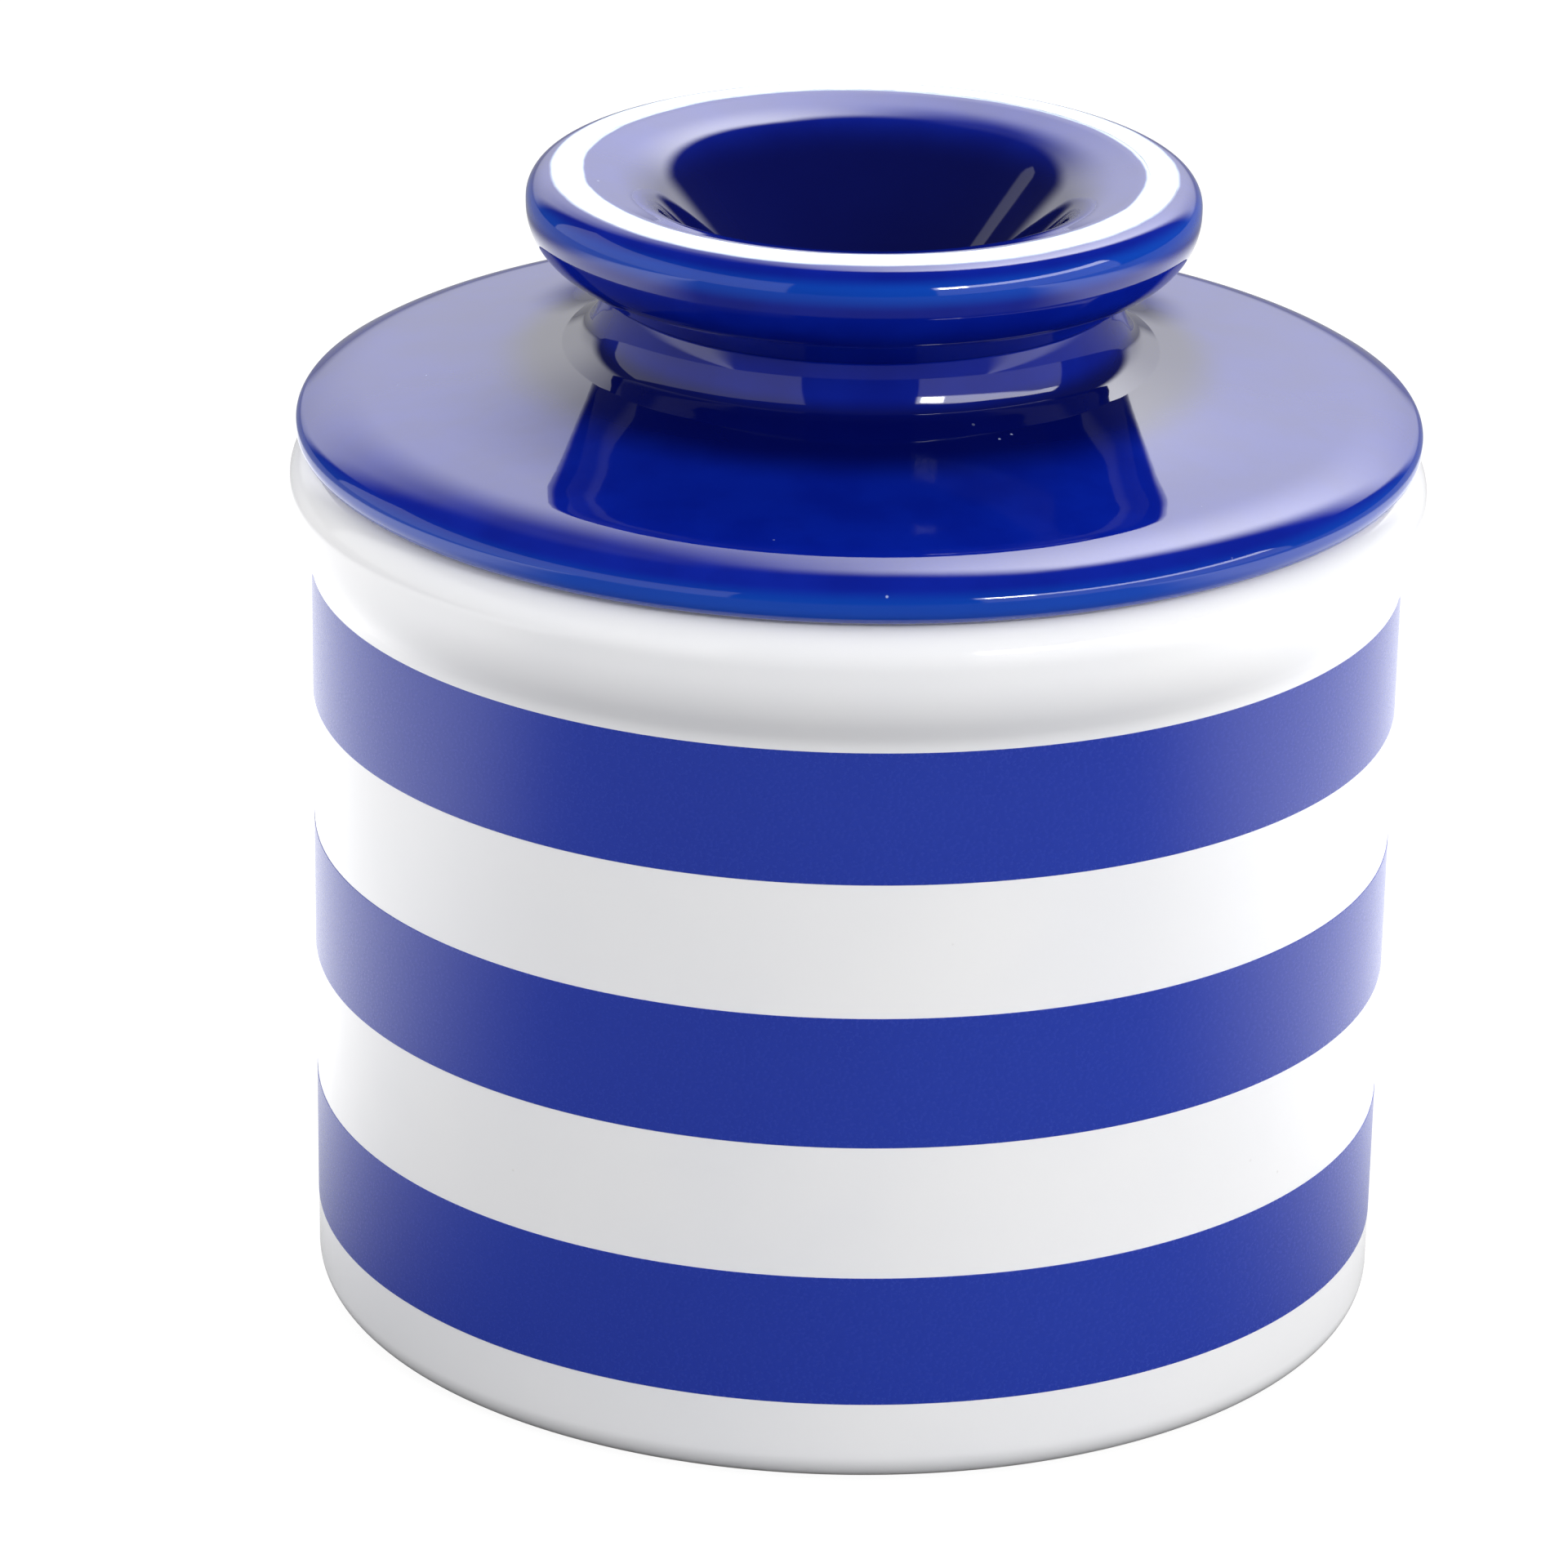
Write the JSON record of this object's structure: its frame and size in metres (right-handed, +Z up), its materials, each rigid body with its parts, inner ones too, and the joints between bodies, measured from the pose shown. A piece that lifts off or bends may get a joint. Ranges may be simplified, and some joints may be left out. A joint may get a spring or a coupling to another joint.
{
  "type": "butter crock",
  "caption": "Glazed stoneware butter crock: banded pot with a lift-off domed lid, hollow flared knob and a bell-shaped butter cup that hangs mouth down over the water well.",
  "frame": {"origin": "centre of the pot's foot, on the plane that it stands on", "axes": "+Z up along the pot's axis of revolution, the way the lid lifts; X and Y are any two level directions"},
  "size_m": [0.1096, 0.1096, 0.1133],
  "materials": {
    "white_glaze": "glossy clear glaze over white stoneware",
    "band_blue": "fired blue transfer, satin gloss",
    "cobalt_glaze": "deep cobalt gloss glaze, paler where it runs thin on edges",
    "bare_clay": "unglazed white clay, matte"
  },
  "bodies": {
    "crock": {"crock_body": "white_glaze", "lower_band": "band_blue", "middle_band": "band_blue", "upper_band": "band_blue"},
    "lid": {"lid_disc": "cobalt_glaze", "knob": "cobalt_glaze", "knob_bare_ring": "bare_clay", "butter_cup": "cobalt_glaze"}
  },
  "joints": [
    {"name": "lid_lift", "type": "slide", "parent": "crock", "child": "lid", "axis": [0, 0, 1], "range_m": [0, 0.09]}
  ]
}
